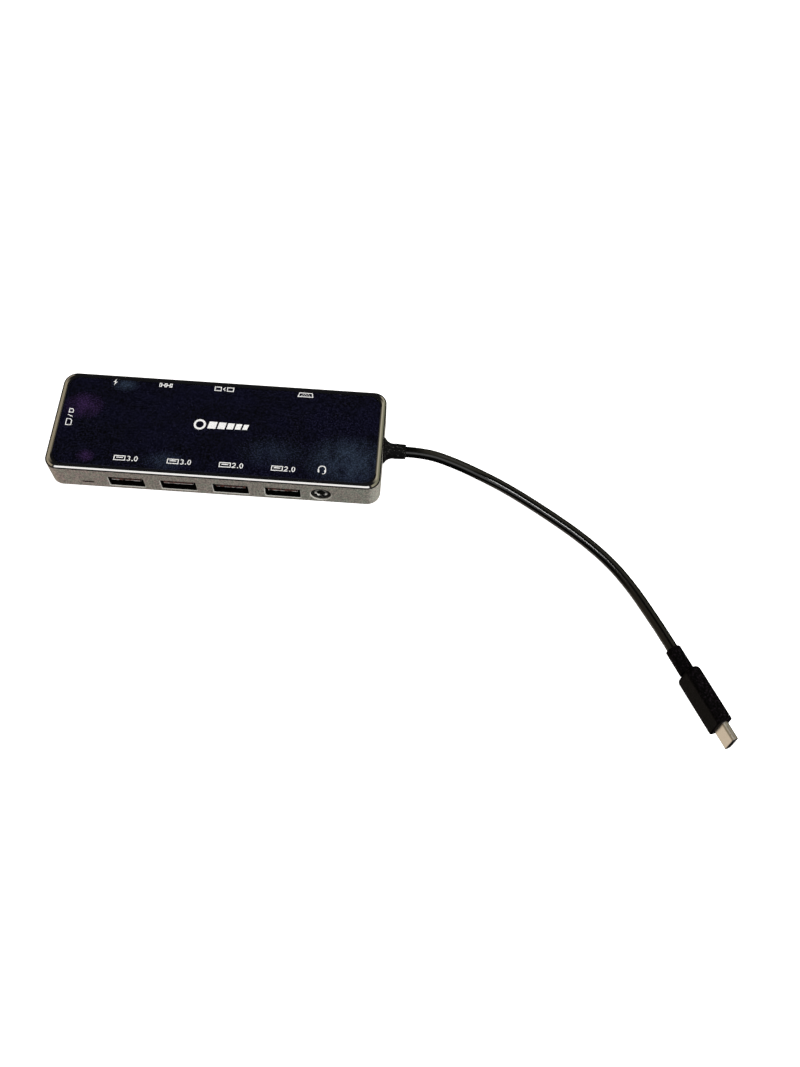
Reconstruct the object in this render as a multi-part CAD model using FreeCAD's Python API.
import FreeCAD, Part
import math
import os

Vector = FreeCAD.Vector

# Multiport laptop dock: a flat metal body with ports on three walls and a short captive cable
# that ends in a USB-C plug. Millimetres. X runs along the body towards the cable, the four
# USB-A ports face -Y, +Z is up, and the origin is on the table under the middle of the body.

# Body
LENGTH = 125.0
WIDTH = 43.0
HEIGHT = 13.1
CORNER_RADIUS = 5.0
WALL = 1.5
BASE_ROUND = 0.8
FOOT_PROUD = 0.5
CAVITY_HIGH = 11.9
RIM_HEIGHT = 12.4
DECK_HEIGHT = 12.5

# Polished ring: inset from the walls, corner radius and height of each edge of its slopes
RING_EDGES = (
    (0.5, 4.5, 12.5),
    (1.05, 4.3, 12.88),
    (1.65, 4.6, 12.97),
    (2.05, 4.9, 13.0),
)

# Top panel
PANEL_GAP = 0.2
PANEL_THICKNESS = 0.5
PANEL_EDGE = 0.06
PANEL_INSET = RING_EDGES[-1][0] + PANEL_GAP
PANEL_CORNER = RING_EDGES[-1][1] - PANEL_GAP
ADHESIVE_INSET = 0.8
PANEL_LOW = HEIGHT - PANEL_THICKNESS

# Bottom cover, its screws and feet
COVER_THICKNESS = 1.2
COVER_GAP = 0.1
COVER_TOP = FOOT_PROUD + COVER_THICKNESS
SCREW_X = 55.0
SCREW_Y = 15.3
SCREW_RADIUS = 0.98
SCREW_HOLE_RADIUS = 1.0
SCREW_HEAD_RADIUS = 1.8
SCREW_HEAD_HEIGHT = 0.9
SCREW_TIP = 9.2
PILOT_TOP = 9.6
BOSS_RADIUS = 2.2
FOOT_RADIUS = 3.5
FOOT_SEAT = 0.5
FOOT_ROUND = 0.25

# Circuit board
BOARD_LOW = 3.2
BOARD_THICKNESS = 1.0
BOARD_TOP = BOARD_LOW + BOARD_THICKNESS
BOARD_GAP = 0.5
BOARD_HOLE_RADIUS = 1.1

# Parts on the board: middle and size in plan; small parts also their height
STATUS_LED = (-47.4, -18.8, 3.0, 1.2, 0.7)
CHIP_HEIGHT = 0.9
HUB_CHIP = (0.5, -1.0, 9.0, 9.0)
NETWORK_CHIP = (-11.0, -1.0, 6.0, 6.0)
DISPLAY_CHIP = (12.0, -1.0, 7.0, 7.0)
CARD_READER_CHIP = (-38.5, -2.5, 5.0, 5.0)
POWER_CHIP = (-40.1, 7.0, 5.0, 5.0)
AUDIO_CHIP = (33.5, -2.0, 4.0, 4.0)
TRANSFORMER_Y = 1.2
TRANSFORMER = (12.6, 6.0, 4.4)
CRYSTAL_PLACES = ((-11.0, 4.2), (6.75, 3.8))
CRYSTAL = (3.2, 2.5, 0.8)
INDUCTOR_PLACES = ((-35.2, 7.5), (20.0, -1.5), (26.0, -1.5))
CAPACITORS = 11
CAPACITOR_START = (-16.0, -6.6)
CAPACITOR_PITCH = 5.0
CAPACITOR = (1.6, 0.8, 0.8)

# Ports: places along their walls and heights above the table
CHAMFER = 0.3
PORT_PLAY = 0.1
OPENING_ROUND = 0.3
CHAMFER_ROUND = 0.1
WELD = 0.1
USB_A_X = (-32.6, -13.0, 6.6, 26.2)
USB_A_Z = 5.6
USB_3_PORTS = 2
JACK_X = 40.5
JACK_Z = 6.1
LED_X = -47.4
LED_Z = 4.1
LED_SLIT = (4.8, 1.2)
LED_ROUND = 0.55
USB_C_X = -42.3
USB_C_Z = 5.78
LAN_X = -22.8
LAN_Z = 6.8
HDMI_X = 0.0
HDMI_Z = 6.83
VGA_X = 31.2
VGA_Z = 6.8
CARD_Y = 0.0
SD_Z = 5.9
TF_Z = 2.45

# USB-A sockets
USB_A_WIDTH = 13.1
USB_A_HEIGHT = 5.7
USB_A_SKIN = 0.3
USB_A_DEPTH = 13.0
USB_A_RECESS = 0.15
USB_A_TONGUE_WIDTH = 11.1
USB_A_TONGUE_LOW = 0.02
USB_A_TONGUE_THICKNESS = 1.84
USB_A_TIP = 0.55
USB_A_CORE = 3.0
USB_A_ROUND = 0.5
USB_A_INNER_ROUND = 0.2
USB_A_LEAD_IN = (0.5, 0.2)
USB_A_SPRING_X = 3.2
USB_A_SPRING_SETBACK = 1.0
USB_A_SPRING = (1.6, 0.3, 4.5)
USB_2_STRIP_X = (-3.5, -1.0, 1.0, 3.5)
USB_2_STRIP = (1.0, 7.6, 6.0)
USB_3_STRIP_X = (-4.0, -2.0, 0.0, 2.0, 4.0)
USB_3_STRIP = (0.6, 6.6, 8.0)
STRIP = 0.15

# Headset socket
JACK_OPENING = 3.85
JACK_NOSE = 3.75
JACK_RECESS = 0.5
JACK_BODY = 8.0
JACK_BODY_HEIGHT = 7.2
JACK_DEPTH = 13.0
JACK_RING_OUTER = 2.8
JACK_BORE = 1.8
JACK_RING_LENGTH = 3.0
JACK_RING_SETBACK = 0.3
JACK_CLEARANCE_BORE = 2.0
JACK_RING_BACK = JACK_RECESS + JACK_RING_SETBACK + JACK_RING_LENGTH
JACK_LEAF_ANGLES = (90, 210, 330)
JACK_LEAF = ((2.1, 2.4), 0.9)
JACK_LEAF_POCKET = ((1.9, 3.0), 1.0)
JACK_LEAF_FRONT = -6.4
JACK_POCKET_FRONT = -6.0
JACK_TAIL = 0.8

# USB-C power socket
USB_C_WIDTH = 8.94
USB_C_HEIGHT = 3.16
USB_C_SKIN = 0.3
USB_C_DEPTH = 7.5
USB_C_CORE = 2.2
USB_C_TONGUE = (6.7, 0.7)
USB_C_TONGUE_SETBACK = 0.7
USB_C_WAYS = 12
USB_C_PITCH = 0.5
SOCKET_RECESS = 0.4

# Network socket
LAN_WIDTH = 15.0
LAN_HEIGHT = 10.1
LAN_SKIN = 0.2
LAN_DEPTH = 15.2
LAN_RECESS = 0.3
LAN_BORE_WIDTH = 11.8
LAN_BORE_HEIGHT = 6.7
LAN_BORE_DEPTH = 12.0
LAN_LATCH = ((6.3, 1.1), (4.1, 1.0))
LAN_PITCH = 1.02
LAN_WIRES = 8
LAN_WIRE = (0.4, 0.35)
LAN_WIRE_DROP = 1.9
LAN_WIRE_FRONT = -2.6
LAN_ROUND = (0.4, 0.2)

# HDMI and VGA sockets
HDMI_HALF_WIDTH = 7.0
HDMI_HALF_HEIGHT = 2.28
HDMI_SKIN = 0.35
HDMI_DEPTH = 11.0
HDMI_CORE = 3.0
HDMI_TONGUE = (11.0, -0.2, 0.9)
HDMI_TONGUE_SETBACK = 1.2
HDMI_ROUND = (0.4, 0.25)
HDMI_WAYS = (10, 9)
HDMI_PITCH = 1.0
VGA_WIDTH = 16.3
VGA_HEIGHT = 7.9
VGA_SKIN = 0.4
VGA_MARGIN = 1.0
VGA_SHELL_DEPTH = 6.0
VGA_BODY_DEPTH = 12.0
VGA_BODY = (22.0, 9.6)
VGA_FLANGE = (22.0, 10.0, 0.6)
VGA_ROUND = 2.5
VGA_RECESS = 0.3
VGA_PITCH = (2.29, 1.98)
VGA_HOLE = 0.6
VGA_SLEEVE = (0.55, 0.35, 4.9)
VGA_BODY_ROUND = 0.5

# Card sockets
SD_WIDTH = 24.4
SD_SLOT = 2.4
SD_DEPTH = 18.0
TF_WIDTH = 11.5
TF_SLOT = 1.0
TF_DEPTH = 15.0
SD_SHEETS = (0.2, 0.5)
TF_SHEETS = (0.15, 0.25)
CARD_WALL = 0.5
CARD_BACK = 1.2
CARD_WAYS = 8
CARD_CONTACT = (0.2, 4.3)

# Cable, its strain relief and its plug
CABLE_DIAMETER = 4.1
CABLE_Y = -0.8
CABLE_Z = 6.8
RELIEF_LENGTH = 8.6
RELIEF_ROOT = 5.0
RELIEF_WAIST = 3.0
RELIEF_END = 2.8
RELIEF_NECK = 3.3
RELIEF_FLANGE = (4.2, 1.2)
RELIEF_HOLE = RELIEF_NECK + 0.2
RELIEF_HOLE_CHAMFER = 0.2
WIRES = 6
WIRE_DIAMETER = 0.9
WIRE_BEND_X = (58.2, 55.6, 53.0)
CABLE_RISE_POINTS = ((79.1, -0.8, 6.8), (89.5, -2.7, 4.5), (99.5, -5.7, 2.2))
CABLE_TABLE_POINTS = ((111.0, -11.4), (125.0, -20.3), (138.5, -29.8), (149.5, -39.7), (157.2, -49.6))
CABLE_LIFT_POINT = (162.6, -58.8, 2.6)
PLUG_HEADING = -63.8
PLUG_RISE = 6.4
PLUG_LEAN = 8.3
PLUG_START = (170.0, -72.9, 4.14)
PLUG_LEAD_IN = 7.0
COLLAR_RADIUS = 2.8
COLLAR_LENGTH = 9.7
COLLAR_ROUND = 0.4
OVERMOULD = (10.7, 5.8, 21.8)
OVERMOULD_ROUND = 2.0
SHOULDER_ROUND = 1.9
NOSE_ROUND = 0.45
TIP = (8.25, 2.4, 6.6)
TIP_SKIN = 0.25
TIP_EDGE = 0.12
TIP_CORE_SETBACK = 0.2
TIP_CAVITY = (6.8, 1.0)
TIP_CONTACT = (0.26, 0.1)

FRONT, RIGHT, REAR, LEFT = 0, 90, 180, 270


# ---------------------------------------------------------------- basic geometry

def corner_arc(before, corner, after, cut):
    """Start, middle and end of the arc that rounds a corner, touching both sides at cut."""
    to_before = (before - corner).normalize()
    to_after = (after - corner).normalize()
    half = to_before.getAngle(to_after) / 2
    bisector = (to_before + to_after).normalize()
    middle = corner + bisector * (cut / math.cos(half) - cut * math.tan(half))
    return corner + to_before * cut, middle, corner + to_after * cut


def rounded(points, radius):
    """Closed flat wire through 2-D points, with every corner rounded."""
    ring = [Vector(x, y, 0) for x, y in points]
    if radius == 0:
        return Part.makePolygon(ring + ring[:1])
    arcs = []
    for index, corner in enumerate(ring):
        before = ring[index - 1]
        after = ring[(index + 1) % len(ring)]
        half = (before - corner).getAngle(after - corner) / 2
        arcs.append(corner_arc(before, corner, after, radius / math.tan(half)))
    edges = []
    for index, (start, middle, end) in enumerate(arcs):
        edges.append(Part.Arc(start, middle, end).toShape())
        following = arcs[(index + 1) % len(arcs)][0]
        if end.distanceToPoint(following) > 1e-6:
            edges.append(Part.LineSegment(end, following).toShape())
    return Part.Wire(edges)


def rectangle(width, height):
    """Corners of a rectangle centred on the origin, anticlockwise."""
    x = width / 2
    y = height / 2
    return [(-x, -y), (x, -y), (x, y), (-x, y)]


def full_round(height):
    """Corner radius that makes the ends of a slot round."""
    return height / 2 - 0.01


def prism(points, radius, low, high):
    """Upright prism over a rounded outline, from height low to height high."""
    face = Part.Face(rounded(points, radius))
    face.translate(Vector(0, 0, low))
    return face.extrude(Vector(0, 0, high - low))


def pipe(outer, outer_radius, inner, inner_radius, low, high):
    """Prism with a straight opening right through it."""
    opening = prism(inner, inner_radius, low - 1, high + 1)
    return prism(outer, outer_radius, low, high).cut(opening)


def block(x_range, y_range, z_range):
    """Box between two limits on each axis."""
    corner = Vector(x_range[0], y_range[0], z_range[0])
    size = [high - low for low, high in (x_range, y_range, z_range)]
    return Part.makeBox(*size, corner)


def tapered(points, radius, grown, grown_radius, low, high):
    """Solid that widens from an outline at low to a grown outline at high."""
    small = rounded(points, radius)
    small.translate(Vector(0, 0, low))
    large = rounded(grown, grown_radius)
    large.translate(Vector(0, 0, high))
    return Part.makeLoft([small, large], True, True)


def seat(shape, wall, along, height):
    """Move a shape from a port's own axes (x across, y up, z out of the wall) to its wall."""
    origin = {
        FRONT: Vector(along, -WIDTH / 2, height),
        REAR: Vector(along, WIDTH / 2, height),
        LEFT: Vector(-LENGTH / 2, along, height),
        RIGHT: Vector(LENGTH / 2, along, height),
    }[wall]
    upright = FreeCAD.Rotation(Vector(1, 0, 0), 90)
    turn = FreeCAD.Rotation(Vector(0, 0, 1), wall)
    placed = shape.copy()
    placed.Placement = FreeCAD.Placement(origin, turn * upright) * placed.Placement
    return placed


def group(solids):
    """Several separate solids in one node."""
    return Part.makeCompound(solids)


def inset_rectangle(inset):
    """Corners of the body's plan, moved inwards."""
    return rectangle(LENGTH - 2 * inset, WIDTH - 2 * inset)


def inset_outline(inset):
    """Plan outline of the body, moved inwards, with the corner radius that goes with it."""
    return inset_rectangle(inset), CORNER_RADIUS - inset


def run_points(route, share=0.45):
    """Arc points, radius and run lengths of a tube whose corners are rounded as far as they go."""
    points = [Vector(*point) for point in route]
    arcs = []
    radii = []
    for before, corner, after in zip(points, points[1:], points[2:]):
        cut = share * min(before.distanceToPoint(corner), corner.distanceToPoint(after))
        half = (before - corner).getAngle(after - corner) / 2
        arcs.append(corner_arc(before, corner, after, cut))
        radii.append(cut * math.tan(half))
    return points, arcs, radii


def tube(route, diameter):
    """Round tube along straight runs joined by tangent arcs; also its length and arc radii."""
    points, arcs, radii = run_points(route)
    edges = []
    here = points[0]
    for start, middle, end in arcs:
        edges.append(Part.LineSegment(here, start).toShape())
        edges.append(Part.Arc(start, middle, end).toShape())
        here = end
    edges.append(Part.LineSegment(here, points[-1]).toShape())
    path = Part.Wire(edges)
    section = Part.Wire(Part.makeCircle(diameter / 2, points[0], points[1] - points[0]))
    return path.makePipeShell([section], True, False), path.Length, radii


# ---------------------------------------------------------------- openings in the walls

def cutter(points, radius, grown, grown_radius):
    """Opening through a wall with a chamfered mouth, in the port's own axes."""
    hole = prism(points, radius, -2 * WALL, 1)
    mouth = tapered(points, radius, grown, grown_radius, -CHAMFER, 0)
    return hole.fuse(mouth)


def slot_cutter(width, height, radius):
    """Rounded rectangular opening with a chamfered mouth."""
    grown = rectangle(width + 2 * CHAMFER, height + 2 * CHAMFER)
    return cutter(rectangle(width, height), radius, grown, radius + CHAMFER)


def round_cutter(radius, chamfer):
    """Round opening with a chamfered mouth."""
    hole = Part.makeCylinder(radius, 2 * WALL + 1, Vector(0, 0, -2 * WALL))
    mouth = Part.makeCone(radius, radius + chamfer, chamfer, Vector(0, 0, -chamfer))
    return hole.fuse(mouth)


def d_points(width, height):
    """Corners of a D-subminiature outline: the wide side up and both ends leaning by 10 degrees."""
    top = width / 2
    side = height / 2
    foot = top - height * math.tan(math.radians(10))
    return [(-foot, -side), (foot, -side), (top, side), (-top, side)]


def hdmi_points(half_width, half_height):
    """Corners of an HDMI outline, with both lower corners cut off."""
    step = 1.35
    shoulder = 1.5
    return [
        (-half_width + step, -half_height),
        (half_width - step, -half_height),
        (half_width, -half_height + shoulder),
        (half_width, half_height),
        (-half_width, half_height),
        (-half_width, -half_height + shoulder),
    ]


def wall_openings():
    """Every opening in the four walls, in place."""
    play = PORT_PLAY
    usb = slot_cutter(USB_A_WIDTH + play, USB_A_HEIGHT + play, OPENING_ROUND)
    cuts = [seat(usb, FRONT, x, USB_A_Z) for x in USB_A_X]
    cuts.append(seat(round_cutter(JACK_OPENING, CHAMFER), FRONT, JACK_X, JACK_Z))
    cuts.append(seat(prism(rectangle(*LED_SLIT), LED_ROUND, -2 * WALL, 1), FRONT, LED_X, LED_Z))
    c_height = USB_C_HEIGHT + 2 * play
    usb_c = slot_cutter(USB_C_WIDTH + 2 * play, c_height, full_round(c_height))
    cuts.append(seat(usb_c, REAR, USB_C_X, USB_C_Z))
    lan = slot_cutter(LAN_WIDTH + play, LAN_HEIGHT + play, OPENING_ROUND)
    cuts.append(seat(lan, REAR, LAN_X, LAN_Z))
    hdmi_half = (HDMI_HALF_WIDTH + HDMI_SKIN + play, HDMI_HALF_HEIGHT + HDMI_SKIN + play)
    hdmi_grown = hdmi_points(hdmi_half[0] + CHAMFER, hdmi_half[1] + CHAMFER)
    hdmi = cutter(hdmi_points(*hdmi_half), HDMI_ROUND[0], hdmi_grown, HDMI_ROUND[0] + CHAMFER_ROUND)
    cuts.append(seat(hdmi, REAR, HDMI_X, HDMI_Z))
    vga = (VGA_WIDTH + 2 * VGA_MARGIN, VGA_HEIGHT + 2 * VGA_MARGIN)
    vga_grown = d_points(vga[0] + 2 * CHAMFER, vga[1] + 2 * CHAMFER)
    vga_round = VGA_ROUND + CHAMFER
    vga_cut = cutter(d_points(*vga), vga_round, vga_grown, vga_round + CHAMFER_ROUND)
    cuts.append(seat(vga_cut, REAR, VGA_X, VGA_Z))
    for width, slot, z in ((SD_WIDTH, SD_SLOT, SD_Z), (TF_WIDTH, TF_SLOT, TF_Z)):
        card = slot_cutter(width + 4 * play, slot + 2 * play, OPENING_ROUND)
        cuts.append(seat(card, LEFT, CARD_Y, z))
    cuts.append(seat(round_cutter(RELIEF_HOLE, RELIEF_HOLE_CHAMFER), RIGHT, CABLE_Y, CABLE_Z))
    return cuts


def screw_places():
    """The four screw axes in plan."""
    return [(x, y) for x in (-SCREW_X, SCREW_X) for y in (-SCREW_Y, SCREW_Y)]


# ---------------------------------------------------------------- casing

def housing_shell():
    """Wall and deck in one piece, open below, with four hollow screw bosses."""
    body = prism(*inset_outline(0), FOOT_PROUD, RIM_HEIGHT)
    low_edges = [edge for edge in body.Edges if edge.BoundBox.ZMax < FOOT_PROUD + 1e-6]
    body = body.makeFillet(BASE_ROUND, low_edges)
    deck = prism(inset_rectangle(PANEL_INSET), PANEL_CORNER, RIM_HEIGHT - WELD, DECK_HEIGHT)
    body = body.fuse(deck)
    body = body.cut(prism(*inset_outline(WALL), 0, CAVITY_HIGH))
    for x, y in screw_places():
        foot = Vector(x, y, BOARD_TOP)
        body = body.fuse(Part.makeCylinder(BOSS_RADIUS, CAVITY_HIGH + WELD - BOARD_TOP, foot))
        body = body.cut(Part.makeCylinder(SCREW_HOLE_RADIUS, PILOT_TOP - BOARD_TOP, foot))
    for opening in wall_openings():
        body = body.cut(opening)
    return body.removeSplitter()


def top_bezel():
    """Polished ring in three slopes, widest at the corners, set in from the walls by a ledge."""
    inset, radius, low = RING_EDGES[0]
    ring = prism(inset_rectangle(inset), radius, RIM_HEIGHT, low)
    for outer, inner in zip(RING_EDGES, RING_EDGES[1:]):
        inset, radius, low = outer
        inner_inset, inner_radius, high = inner
        slope = tapered(
            inset_rectangle(inset), radius, inset_rectangle(inner_inset), inner_radius, low, high
        )
        ring = ring.fuse(slope)
    inset, radius, high = RING_EDGES[-1]
    bore = prism(inset_rectangle(inset), radius, RIM_HEIGHT - 1, high + 1)
    return ring.cut(bore).removeSplitter()


def top_panel():
    """Glossy plate that fills the ring."""
    plate = prism(inset_rectangle(PANEL_INSET), PANEL_CORNER, PANEL_LOW, HEIGHT)
    top_edges = [edge for edge in plate.Edges if edge.BoundBox.ZMin > HEIGHT - 1e-6]
    return plate.makeChamfer(PANEL_EDGE, top_edges)


def panel_adhesive():
    """Double-sided tape between the deck and the panel."""
    outline = inset_rectangle(PANEL_INSET + ADHESIVE_INSET)
    return prism(outline, PANEL_CORNER - ADHESIVE_INSET, DECK_HEIGHT, PANEL_LOW)


def bottom_cover():
    """Inset plate with four pillars that hold the board up against the bosses."""
    cover = prism(*inset_outline(WALL + COVER_GAP), FOOT_PROUD, COVER_TOP)
    head_low = FOOT_PROUD + FOOT_SEAT
    for x, y in screw_places():
        cover = cover.fuse(Part.makeCylinder(BOSS_RADIUS, BOARD_LOW - head_low, Vector(x, y, head_low)))
    for x, y in screw_places():
        cover = cover.cut(Part.makeCylinder(FOOT_RADIUS, FOOT_SEAT, Vector(x, y, FOOT_PROUD)))
        cover = cover.cut(Part.makeCylinder(SCREW_HOLE_RADIUS, BOARD_LOW, Vector(x, y, head_low)))
        head = Part.makeCone(
            SCREW_HEAD_RADIUS, SCREW_HOLE_RADIUS, SCREW_HEAD_HEIGHT, Vector(x, y, head_low)
        )
        cover = cover.cut(head)
    return cover.removeSplitter()


def cover_screw(x, y):
    """Countersunk screw with a cross recess, head down."""
    low = FOOT_PROUD + FOOT_SEAT
    head = Part.makeCone(SCREW_HEAD_RADIUS, SCREW_RADIUS, SCREW_HEAD_HEIGHT, Vector(x, y, low))
    shank = Part.makeCylinder(SCREW_RADIUS, SCREW_TIP - low, Vector(x, y, low))
    screw = head.fuse(shank)
    arm = 1.0
    blade = 0.2
    deep = 0.5
    for half_x, half_y in ((arm, blade), (blade, arm)):
        slot = block((x - half_x, x + half_x), (y - half_y, y + half_y), (low - 1, low + deep))
        screw = screw.cut(slot)
    return screw.removeSplitter()


def rubber_foot(x, y):
    """Round foot with a softened lower edge, seated over a screw."""
    foot = Part.makeCylinder(FOOT_RADIUS, FOOT_PROUD + FOOT_SEAT, Vector(x, y, 0))
    low_edges = [edge for edge in foot.Edges if edge.BoundBox.ZMax < 1e-6]
    return foot.makeFillet(FOOT_ROUND, low_edges)


def led_window():
    """Light pipe that fills the slit in the front wall."""
    pipe_back = -1.9
    recess = 0.15
    return seat(prism(rectangle(*LED_SLIT), LED_ROUND, pipe_back, -recess), FRONT, LED_X, LED_Z)


# ---------------------------------------------------------------- board and what it carries

def board_notches():
    """Places where the board gives way to sockets that are sunk into it."""
    edge = WIDTH / 2
    notches = []
    back = -edge + USB_A_RECESS + USB_A_DEPTH
    for x in USB_A_X:
        notches.append(((x - USB_A_WIDTH / 2, x + USB_A_WIDTH / 2), (-edge, back)))
    notches.append(((JACK_X - JACK_BODY / 2, JACK_X + JACK_BODY / 2), (-edge, -edge + JACK_DEPTH)))
    back = edge - LAN_RECESS - LAN_DEPTH
    notches.append(((LAN_X - LAN_WIDTH / 2, LAN_X + LAN_WIDTH / 2), (back, edge)))
    half = VGA_BODY[0] / 2
    notches.append(((VGA_X - half, VGA_X + half), (edge - VGA_BODY_DEPTH, edge)))
    radius, thickness = RELIEF_FLANGE
    x_range = (LENGTH / 2 - WALL - thickness, LENGTH / 2)
    notches.append((x_range, (CABLE_Y - radius, CABLE_Y + radius)))
    return notches


def main_board():
    """Circuit board, sunk sockets let into its edges, clamped at four screw holes."""
    board = prism(*inset_outline(WALL + BOARD_GAP), BOARD_LOW, BOARD_TOP)
    for x_range, y_range in board_notches():
        board = board.cut(block(x_range, y_range, (0, HEIGHT)))
    for x, y in screw_places():
        board = board.cut(Part.makeCylinder(BOARD_HOLE_RADIUS, HEIGHT, Vector(x, y, 0)))
    return board


def small_part(x, y, width, depth, height):
    """Plain rectangular component on the board."""
    return block((x - width / 2, x + width / 2), (y - depth / 2, y + depth / 2),
                 (BOARD_TOP, BOARD_TOP + height))


def chip(x, y, width, depth):
    """Flat moulded package on the board, with a small round orientation mark."""
    package = small_part(x, y, width, depth, CHIP_HEIGHT)
    top = BOARD_TOP + CHIP_HEIGHT
    top_edges = [edge for edge in package.Edges if edge.BoundBox.ZMin > top - 1e-6]
    bevel = 0.1
    package = package.makeChamfer(bevel, top_edges)
    mark_inset = 0.9
    mark_depth = 0.05
    mark_radius = 0.3
    mark = Vector(x - width / 2 + mark_inset, y - depth / 2 + mark_inset, top - mark_depth)
    return package.cut(Part.makeCylinder(mark_radius, 1, mark))


def inductor(x, y):
    """Square power inductor with cut corners."""
    side = 2.1
    cut = 0.5
    height = 2.0
    points = [(-side + cut, -side), (side - cut, -side), (side, -side + cut), (side, side - cut),
              (side - cut, side), (-side + cut, side), (-side, side - cut), (-side, -side + cut)]
    body = prism(points, 0, BOARD_TOP, BOARD_TOP + height)
    body.translate(Vector(x, y, 0))
    return body


def lan_transformer():
    """Network isolation transformer with a row of leads along each long side."""
    depth = TRANSFORMER[1]
    stand_off = 0.2
    leads = 8
    lead_pitch = 1.27
    lead_width, lead_reach, lead_height = 0.4, 0.6, 0.9
    body = small_part(LAN_X, TRANSFORMER_Y, *TRANSFORMER)
    body.translate(Vector(0, 0, stand_off))
    solids = [body]
    for side in (-1, 1):
        for index in range(leads):
            x = LAN_X + (index - (leads - 1) / 2) * lead_pitch
            y = TRANSFORMER_Y + side * (depth + lead_reach) / 2
            solids.append(small_part(x, y, lead_width, lead_reach, lead_height))
    return group(solids)


# ---------------------------------------------------------------- sockets, in port axes

def usb_a_inside():
    """Width and height inside the USB-A shell."""
    return USB_A_WIDTH - 2 * USB_A_SKIN, USB_A_HEIGHT - 2 * USB_A_SKIN


def usb_a_shell():
    """Steel shell with two pressed springs in its roof and two in its floor."""
    front = -USB_A_RECESS
    inside = usb_a_inside()
    shell = pipe(rectangle(USB_A_WIDTH, USB_A_HEIGHT), USB_A_ROUND, rectangle(*inside),
                 USB_A_INNER_ROUND, front - USB_A_DEPTH, front)
    width, reach, length = USB_A_SPRING
    spring_front = front - USB_A_SPRING_SETBACK
    for x in (-USB_A_SPRING_X, USB_A_SPRING_X):
        for side in (-1, 1):
            limits = (side * (inside[1] / 2 - reach), side * (inside[1] / 2 + USB_A_SKIN / 3))
            spring = block((x - width / 2, x + width / 2), (min(limits), max(limits)),
                           (spring_front - length, spring_front))
            shell = shell.fuse(spring)
    return shell.removeSplitter()


def usb_a_tongue():
    """Moulded core with the contact tongue in the upper part of the socket."""
    back = -USB_A_RECESS - USB_A_DEPTH
    root = back + USB_A_CORE
    tip = -USB_A_TIP
    core = prism(rectangle(*usb_a_inside()), USB_A_INNER_ROUND, back, root)
    half = USB_A_TONGUE_WIDTH / 2
    low = USB_A_TONGUE_LOW
    high = low + USB_A_TONGUE_THICKNESS
    tongue = block((-half, half), (low, high), (root - WELD, tip))
    for reach, height in zip(USB_A_LEAD_IN, (low, high)):
        edges = [edge for edge in tongue.Edges
                 if edge.BoundBox.ZMin > tip - 1e-6 and abs(edge.CenterOfMass.y - height) < 1e-6]
        tongue = tongue.makeChamfer(reach, edges)
    return core.fuse(tongue).removeSplitter()


def usb_a_contacts(fast):
    """Contact strips under the tongue; a fast port has a second, shorter row in front."""
    root = -USB_A_RECESS - USB_A_DEPTH + USB_A_CORE
    y_range = (USB_A_TONGUE_LOW - STRIP, USB_A_TONGUE_LOW)
    width, slow_reach, fast_reach = USB_2_STRIP
    reach = fast_reach if fast else slow_reach
    strips = [block((x - width / 2, x + width / 2), y_range, (root, root + reach))
              for x in USB_2_STRIP_X]
    if fast:
        width, low, high = USB_3_STRIP
        for x in USB_3_STRIP_X:
            x_range = (x - width / 2, x + width / 2)
            strips.append(block(x_range, y_range, (root + low, root + high)))
    return group(strips)


def around_bore(outline, z_range):
    """The same block, given by radii and width, at each of the socket's contact leaves."""
    radii, width = outline
    blocks = []
    for angle in JACK_LEAF_ANGLES:
        piece = block(radii, (-width / 2, width / 2), z_range)
        piece.rotate(Vector(0, 0, 0), Vector(0, 0, 1), angle)
        blocks.append(piece)
    return blocks


def jack_body():
    """Black moulding with a round nose in the wall, hollow for a 3.5 mm plug."""
    half = JACK_BODY / 2
    side = JACK_BODY_HEIGHT / 2
    body = block((-half, half), (-side, side), (-JACK_DEPTH, -WALL))
    nose_back = -WALL - WELD
    nose_length = WALL + WELD - JACK_RECESS
    body = body.fuse(Part.makeCylinder(JACK_NOSE, nose_length, Vector(0, 0, nose_back)))
    bore = Part.makeCylinder(JACK_CLEARANCE_BORE, JACK_DEPTH + 1, Vector(0, 0, -JACK_DEPTH))
    ring_seat = Part.makeCylinder(JACK_RING_OUTER, JACK_DEPTH, Vector(0, 0, -JACK_RING_BACK))
    pockets = around_bore(JACK_LEAF_POCKET, (-JACK_DEPTH, JACK_POCKET_FRONT))
    for hollow in [bore, ring_seat] + pockets:
        body = body.cut(hollow)
    return body.removeSplitter()


def jack_ring():
    """Nickel bushing that guides the plug."""
    low = -JACK_RING_BACK
    ring = Part.makeCylinder(JACK_RING_OUTER, JACK_RING_LENGTH, Vector(0, 0, low))
    edges = [edge for edge in ring.Edges if edge.BoundBox.ZMin > low + JACK_RING_LENGTH - 1e-6]
    bevel = 0.3
    ring = ring.makeChamfer(bevel, edges)
    return ring.cut(Part.makeCylinder(JACK_BORE, JACK_DEPTH, Vector(0, 0, low - 1)))


def jack_contacts():
    """Three contact leaves around the bore, each with a tail behind the moulding."""
    return group(around_bore(JACK_LEAF, (-JACK_DEPTH - JACK_TAIL, JACK_LEAF_FRONT)))


def contact_rows(counts, pitch, width, surfaces, thickness, z_range):
    """Rows of thin strips lying on the top and bottom surfaces of a tongue."""
    strips = []
    for count, surface in zip(counts, surfaces):
        y_range = (surface, surface + thickness) if surface > 0 else (surface - thickness, surface)
        for index in range(count):
            x = (index - (count - 1) / 2) * pitch
            strips.append(block((x - width / 2, x + width / 2), y_range, z_range))
    return group(strips)


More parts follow.
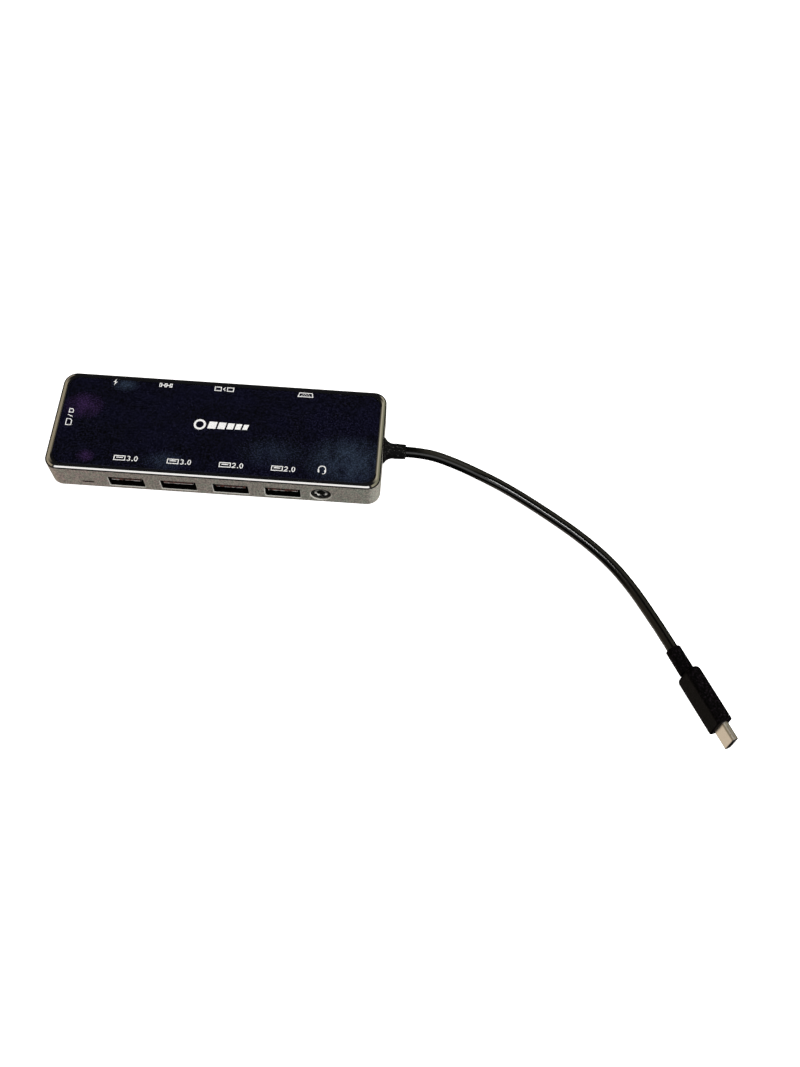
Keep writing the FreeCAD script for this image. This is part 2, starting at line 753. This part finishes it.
def usb_c_socket():
    """Shell, tongue and contacts of the USB-C power socket."""
    front = -SOCKET_RECESS
    back = front - USB_C_DEPTH
    inner = (USB_C_WIDTH - 2 * USB_C_SKIN, USB_C_HEIGHT - 2 * USB_C_SKIN)
    outer = rectangle(USB_C_WIDTH, USB_C_HEIGHT)
    inner_round = full_round(inner[1])
    shell = pipe(outer, full_round(USB_C_HEIGHT), rectangle(*inner), inner_round, back, front)
    core = prism(rectangle(*inner), inner_round, back, back + USB_C_CORE)
    half_width, half_height = USB_C_TONGUE[0] / 2, USB_C_TONGUE[1] / 2
    tongue = block((-half_width, half_width), (-half_height, half_height),
                   (back + USB_C_CORE - WELD, front - USB_C_TONGUE_SETBACK))
    setback = 1.1
    thickness = 0.05
    contacts = contact_rows((USB_C_WAYS, USB_C_WAYS), USB_C_PITCH, USB_C_PITCH / 2,
                            (half_height, -half_height), thickness,
                            (back + USB_C_CORE, front - setback))
    return shell, core.fuse(tongue).removeSplitter(), contacts


def lan_opening_heights():
    """Lower and upper limit of the plug's opening, between the two latch steps and the roof."""
    total = LAN_BORE_HEIGHT + sum(step for _, step in LAN_LATCH)
    return total / 2 - LAN_BORE_HEIGHT, total / 2


def lan_inside():
    """Solid that fills the shield, open in front of it."""
    inner = rectangle(LAN_WIDTH - 2 * LAN_SKIN, LAN_HEIGHT - 2 * LAN_SKIN)
    return prism(inner, LAN_ROUND[1], -LAN_RECESS - LAN_DEPTH + LAN_SKIN, -LAN_RECESS)


def lan_housing():
    """Moulding with the stepped opening of an 8-way network plug, latch down."""
    body = lan_inside()
    low, high = lan_opening_heights()
    depth = (-LAN_RECESS - LAN_BORE_DEPTH, 1)
    half = LAN_BORE_WIDTH / 2
    body = body.cut(block((-half, half), (low, high), depth))
    for width, step in LAN_LATCH:
        body = body.cut(block((-width / 2, width / 2), (low - step, low + WELD), depth))
        low -= step
    return body


def lan_shield():
    """Folded steel can around the moulding, open in front."""
    outer = prism(rectangle(LAN_WIDTH, LAN_HEIGHT), LAN_ROUND[0], -LAN_RECESS - LAN_DEPTH, -LAN_RECESS)
    return outer.cut(lan_inside())


def lan_wires():
    """Eight spring wires that slope down from the roof towards the back of the opening."""
    high = lan_opening_heights()[1]
    low = high - LAN_WIRE_DROP
    back = -LAN_RECESS - LAN_BORE_DEPTH
    front = LAN_WIRE_FRONT
    width, thick = LAN_WIRE
    wires = []
    for index in range(LAN_WIRES):
        x = (index - (LAN_WIRES - 1) / 2) * LAN_PITCH - width / 2
        profile = [Vector(x, high, front), Vector(x, low, back), Vector(x, low + thick, back),
                   Vector(x, high, front - 1)]
        face = Part.Face(Part.makePolygon(profile + profile[:1]))
        wires.append(face.extrude(Vector(width, 0, 0)))
    return group(wires)


def hdmi_socket():
    """Shell, tongue and contacts of the HDMI socket."""
    front = -SOCKET_RECESS
    back = front - HDMI_DEPTH
    inner = hdmi_points(HDMI_HALF_WIDTH, HDMI_HALF_HEIGHT)
    outer = hdmi_points(HDMI_HALF_WIDTH + HDMI_SKIN, HDMI_HALF_HEIGHT + HDMI_SKIN)
    shell = pipe(outer, HDMI_ROUND[0], inner, HDMI_ROUND[1], back, front)
    core = prism(inner, HDMI_ROUND[1], back, back + HDMI_CORE)
    width, low, high = HDMI_TONGUE
    tongue = block((-width / 2, width / 2), (low, high),
                   (back + HDMI_CORE - WELD, front - HDMI_TONGUE_SETBACK))
    setback = 2.0
    thickness = 0.08
    rows = contact_rows(HDMI_WAYS, HDMI_PITCH, HDMI_PITCH / 2, (high, low), thickness,
                        (back + HDMI_CORE, front - setback))
    return shell, core.fuse(tongue).removeSplitter(), rows


def vga_places():
    """Axes of the fifteen contacts, in three rows of five, the middle row shifted."""
    places = []
    for row in (1, 0, -1):
        shift = VGA_PITCH[0] / 4 if row else -VGA_PITCH[0] / 4
        for index in range(5):
            places.append(((index - 2) * VGA_PITCH[0] + shift, row * VGA_PITCH[1]))
    return places


def vga_inside(low, high):
    """Solid that fills the D-shaped shell between two depths."""
    inner = d_points(VGA_WIDTH - 2 * VGA_SKIN, VGA_HEIGHT - 2 * VGA_SKIN)
    return prism(inner, VGA_ROUND - VGA_SKIN, low, high)


def vga_shell():
    """D-shaped steel shell standing on a flange."""
    front = -VGA_RECESS
    root = front - VGA_SHELL_DEPTH
    width, height, thickness = VGA_FLANGE
    shell = prism(d_points(VGA_WIDTH, VGA_HEIGHT), VGA_ROUND, root, front)
    flange = prism(rectangle(width, height), VGA_BODY_ROUND, root - thickness, root)
    return shell.fuse(flange).cut(vga_inside(root - 1, 0)).removeSplitter()


def vga_insulator():
    """Moulded block that fills the shell, with fifteen contact holes."""
    root = -VGA_RECESS - VGA_SHELL_DEPTH - VGA_FLANGE[2]
    body = vga_inside(root, -2 * VGA_RECESS)
    body = body.fuse(prism(rectangle(*VGA_BODY), VGA_BODY_ROUND, -VGA_BODY_DEPTH, root))
    for x, y in vga_places():
        body = body.cut(Part.makeCylinder(VGA_HOLE, VGA_SHELL_DEPTH, Vector(x, y, -VGA_SHELL_DEPTH)))
    return body.removeSplitter()


def vga_contacts():
    """Brass contact sleeves at the bottom of the holes."""
    outer, bore, length = VGA_SLEEVE
    sleeves = []
    for x, y in vga_places():
        sleeve = Part.makeCylinder(outer, length, Vector(x, y, -VGA_SHELL_DEPTH))
        sleeves.append(sleeve.cut(Part.makeCylinder(bore, length, Vector(x, y, 1 - VGA_SHELL_DEPTH))))
    return group(sleeves)


def card_socket(width, slot, depth, sheets, up):
    """Tray, sheet cover and contacts of a card socket; up is 1, or -1 with the tray above."""
    sheet, floor = sheets
    front = -WALL
    back = front - depth
    half = width / 2
    outer = half + CARD_WALL
    low = -slot / 2

    def flip(y_low, y_high):
        return (min(up * y_low, up * y_high), max(up * y_low, up * y_high))

    tray = block((-outer, outer), flip(low - floor, slot / 2), (back, front))
    tray = tray.cut(block((-half, half), flip(low, slot / 2 + 1), (back + CARD_BACK, front + 1)))
    cover = block((-outer - sheet, outer + sheet), flip(low - floor, slot / 2 + sheet), (back, front))
    cover = cover.cut(block((-outer, outer), flip(low - floor - 1, slot / 2), (back - 1, front + 1)))
    pitch = width / 10
    thickness, length = CARD_CONTACT
    contact_back = back + CARD_BACK
    strips = []
    for index in range(CARD_WAYS):
        x = (index - (CARD_WAYS - 1) / 2) * pitch
        strips.append(block((x - pitch / 4, x + pitch / 4), flip(low, low + thickness),
                            (contact_back, contact_back + length)))
    return tray, cover, group(strips)


# ---------------------------------------------------------------- cable and plug

def strain_relief():
    """Turned rubber sleeve: a flange inside the wall, a neck through it and a flared tail."""
    inside = LENGTH / 2 - WALL
    outside = LENGTH / 2
    end = outside + RELIEF_LENGTH
    flange, thickness = RELIEF_FLANGE
    lip = 0.5
    flare = 4.1
    soft = 0.2

    def at(x, radius):
        return Vector(x, CABLE_Y, CABLE_Z + radius)

    start = [at(inside - thickness, 0), at(inside - thickness, flange), at(inside, flange),
             at(inside, RELIEF_NECK), at(outside, RELIEF_NECK), at(outside, RELIEF_ROOT),
             at(outside + lip, RELIEF_ROOT)]
    waist = at(outside + lip + flare, RELIEF_WAIST)
    tail = [waist, at(end - soft, RELIEF_END), at(end, RELIEF_END - soft), at(end, 0), start[0]]
    along, out = 0.27, 0.31
    middle = at(outside + lip + along * flare, RELIEF_WAIST + out * (RELIEF_ROOT - RELIEF_WAIST))
    edges = [Part.LineSegment(a, b).toShape() for a, b in zip(start, start[1:])]
    edges.append(Part.Arc(start[-1], middle, waist).toShape())
    edges += [Part.LineSegment(a, b).toShape() for a, b in zip(tail, tail[1:])]
    face = Part.Face(Part.Wire(edges))
    return face.revolve(Vector(0, CABLE_Y, CABLE_Z), Vector(1, 0, 0), 360)


def cable_wires():
    """Insulated wires from the sleeve's inner end down to the board."""
    start_x = LENGTH / 2 - WALL - RELIEF_FLANGE[1]
    low = BOARD_TOP + WIRE_DIAMETER / 2
    level_x, bend_x, end_x = WIRE_BEND_X
    widening = 1.5
    wires = []
    for index in range(WIRES):
        place = index - (WIRES - 1) / 2
        y = CABLE_Y + place
        spread = CABLE_Y + widening * place
        route = [(start_x, y, CABLE_Z), (level_x, y, CABLE_Z), (bend_x, spread, low),
                 (end_x, spread, low)]
        wires.append(tube(route, WIRE_DIAMETER)[0])
    return group(wires)


def lay_plug(shape):
    """Move a shape from the plug's own axes (z towards the tip, x its wide way) to its place.

    The plug stands on the rear edge of its grip's narrow side, with the tip a little raised.
    """
    turn = FreeCAD.Rotation(Vector(0, 0, 1), PLUG_HEADING)
    tip_over = FreeCAD.Rotation(Vector(0, 1, 0), 90 - PLUG_RISE)
    lean = FreeCAD.Rotation(Vector(0, 0, 1), -PLUG_LEAN)
    placed = shape.copy()
    placed.Placement = FreeCAD.Placement(Vector(*PLUG_START), turn * tip_over * lean) * placed.Placement
    return placed


def plug_collar():
    """Round neck of the plug, where the cable enters."""
    collar = Part.makeCylinder(COLLAR_RADIUS, COLLAR_LENGTH)
    edges = [edge for edge in collar.Edges if edge.BoundBox.ZMax < 1e-6]
    return collar.makeFillet(COLLAR_ROUND, edges)


def plug_overmould():
    """Rounded grip of the plug."""
    width, thickness, length = OVERMOULD
    low = COLLAR_LENGTH
    high = low + length
    grip = prism(rectangle(width, thickness), OVERMOULD_ROUND, low, high)
    shoulder = [edge for edge in grip.Edges if edge.BoundBox.ZMax < low + 1e-6]
    grip = grip.makeFillet(SHOULDER_ROUND, shoulder)
    nose = [edge for edge in grip.Edges if edge.BoundBox.ZMin > high - 1e-6]
    return grip.makeFillet(NOSE_ROUND, nose)


def plug_tip():
    """Metal shell, insulator and contacts of the USB-C plug."""
    width, thickness, length = TIP
    low = COLLAR_LENGTH + OVERMOULD[2]
    high = low + length
    inner = (width - 2 * TIP_SKIN, thickness - 2 * TIP_SKIN)
    inner_round = full_round(inner[1])
    shell = prism(rectangle(width, thickness), full_round(thickness), low, high)
    rim = [edge for edge in shell.Edges if edge.BoundBox.ZMin > high - 1e-6]
    shell = shell.makeFillet(TIP_EDGE, rim)
    shell = shell.cut(prism(rectangle(*inner), inner_round, low - 1, high + 1))
    core = prism(rectangle(*inner), inner_round, low, high - TIP_CORE_SETBACK)
    half = TIP_CAVITY[0] / 2
    cavity = TIP_CAVITY[1] / 2
    cavity_back = low + 1.2
    core = core.cut(block((-half, half), (-cavity, cavity), (cavity_back, high + 1)))
    contact_width, thin = TIP_CONTACT
    contacts = []
    for y_range in ((-cavity, thin - cavity), (cavity - thin, cavity)):
        for index in range(USB_C_WAYS):
            x = (index - (USB_C_WAYS - 1) / 2) * USB_C_PITCH
            x_range = (x - contact_width / 2, x + contact_width / 2)
            contacts.append(block(x_range, y_range, (cavity_back, high - 1.0)))
    return shell, core, group(contacts)


def cable_route():
    """Points that the cable runs through, from the strain relief to the plug's collar."""
    heading = math.radians(PLUG_HEADING)
    rise = math.radians(PLUG_RISE)
    level = PLUG_LEAD_IN * math.cos(rise)
    end_x, end_y, end_z = PLUG_START
    lead_x = end_x - level * math.cos(heading)
    lead_y = end_y - level * math.sin(heading)
    route = [(LENGTH / 2 + RELIEF_LENGTH, CABLE_Y, CABLE_Z)]
    route += CABLE_RISE_POINTS
    route += [(x, y, CABLE_DIAMETER / 2) for x, y in CABLE_TABLE_POINTS]
    route += [CABLE_LIFT_POINT, (lead_x, lead_y, end_z - PLUG_LEAD_IN * math.sin(rise)), PLUG_START]
    return route


# ---------------------------------------------------------------- the whole dock

def casing():
    """Nodes of the casing."""
    places = screw_places()
    return {
        "housing_shell": housing_shell(),
        "top_bezel": top_bezel(),
        "top_panel": top_panel(),
        "panel_adhesive": panel_adhesive(),
        "bottom_cover": bottom_cover(),
        "cover_screws": group([cover_screw(x, y) for x, y in places]),
        "rubber_feet": group([rubber_foot(x, y) for x, y in places]),
        "led_window": led_window(),
    }


def electronics():
    """Nodes of the circuit board and its parts."""
    start_x, row_y = CAPACITOR_START
    capacitor_x = [start_x + CAPACITOR_PITCH * index for index in range(CAPACITORS)]
    return {
        "main_board": main_board(),
        "status_led": small_part(*STATUS_LED),
        "hub_chip": chip(*HUB_CHIP),
        "network_chip": chip(*NETWORK_CHIP),
        "display_chip": chip(*DISPLAY_CHIP),
        "card_reader_chip": chip(*CARD_READER_CHIP),
        "power_chip": chip(*POWER_CHIP),
        "audio_chip": chip(*AUDIO_CHIP),
        "lan_transformer": lan_transformer(),
        "crystals": group([small_part(x, y, *CRYSTAL) for x, y in CRYSTAL_PLACES]),
        "inductors": group([inductor(x, y) for x, y in INDUCTOR_PLACES]),
        "capacitors": group([small_part(x, row_y, *CAPACITOR) for x in capacitor_x]),
    }


def front_sockets():
    """Nodes of the four USB-A sockets and the headset socket."""
    nodes = {}
    for index, x in enumerate(USB_A_X):
        fast = index < USB_3_PORTS
        number = index + 1
        nodes[f"usb_a_shell_{number}"] = seat(usb_a_shell(), FRONT, x, USB_A_Z)
        nodes[f"usb_a_tongue_{number}"] = seat(usb_a_tongue(), FRONT, x, USB_A_Z)
        nodes[f"usb_a_contacts_{number}"] = seat(usb_a_contacts(fast), FRONT, x, USB_A_Z)
    nodes["audio_jack_body"] = seat(jack_body(), FRONT, JACK_X, JACK_Z)
    nodes["audio_jack_ring"] = seat(jack_ring(), FRONT, JACK_X, JACK_Z)
    nodes["audio_jack_contacts"] = seat(jack_contacts(), FRONT, JACK_X, JACK_Z)
    return nodes


def rear_sockets():
    """Nodes of the power, network, HDMI and VGA sockets."""
    nodes = {}
    parts = ("shell", "tongue", "contacts")
    for part, shape in zip(parts, usb_c_socket()):
        nodes[f"usb_c_{part}"] = seat(shape, REAR, USB_C_X, USB_C_Z)
    for part, shape in zip(parts, hdmi_socket()):
        nodes[f"hdmi_{part}"] = seat(shape, REAR, HDMI_X, HDMI_Z)
    nodes["lan_jack_housing"] = seat(lan_housing(), REAR, LAN_X, LAN_Z)
    nodes["lan_jack_shield"] = seat(lan_shield(), REAR, LAN_X, LAN_Z)
    nodes["lan_jack_contacts"] = seat(lan_wires(), REAR, LAN_X, LAN_Z)
    nodes["vga_shell"] = seat(vga_shell(), REAR, VGA_X, VGA_Z)
    nodes["vga_insulator"] = seat(vga_insulator(), REAR, VGA_X, VGA_Z)
    nodes["vga_contacts"] = seat(vga_contacts(), REAR, VGA_X, VGA_Z)
    return nodes


def card_sockets():
    """Nodes of the SD socket on the board and the TF socket under it."""
    sd_tray, sd_cover, sd_contacts = card_socket(SD_WIDTH, SD_SLOT, SD_DEPTH, SD_SHEETS, 1)
    tf_tray, tf_cover, tf_contacts = card_socket(TF_WIDTH, TF_SLOT, TF_DEPTH, TF_SHEETS, -1)
    contacts = [seat(sd_contacts, LEFT, CARD_Y, SD_Z), seat(tf_contacts, LEFT, CARD_Y, TF_Z)]
    return {
        "sd_socket_tray": seat(sd_tray, LEFT, CARD_Y, SD_Z),
        "sd_socket_cover": seat(sd_cover, LEFT, CARD_Y, SD_Z),
        "tf_socket_tray": seat(tf_tray, LEFT, CARD_Y, TF_Z),
        "tf_socket_cover": seat(tf_cover, LEFT, CARD_Y, TF_Z),
        "card_socket_contacts": group(contacts),
    }


def cable_nodes():
    """Nodes of the cable, its strain relief and its plug."""
    cable, length, radii = tube(cable_route(), CABLE_DIAMETER)
    section = math.pi * CABLE_DIAMETER ** 2 / 4
    print("cable length", round(length, 1), "radii", [round(radius, 1) for radius in radii])
    print("cable volume", round(cable.Volume, 1), "expected", round(section * length, 1))
    shell, core, contacts = plug_tip()
    return {
        "cable_strain_relief": strain_relief(),
        "cable_wires": cable_wires(),
        "cable": cable,
        "plug_collar": lay_plug(plug_collar()),
        "plug_overmould": lay_plug(plug_overmould()),
        "plug_shell": lay_plug(shell),
        "plug_core": lay_plug(core),
        "plug_contacts": lay_plug(contacts),
    }


def main():
    """Write one STEP file for each piece."""
    os.makedirs("parts", exist_ok=True)
    nodes = {}
    for build in (casing, electronics, front_sockets, rear_sockets, card_sockets, cable_nodes):
        nodes.update(build())
    for name, shape in nodes.items():
        shape.exportStep(f"parts/{name}.step")
    print(len(nodes), "nodes")


main()
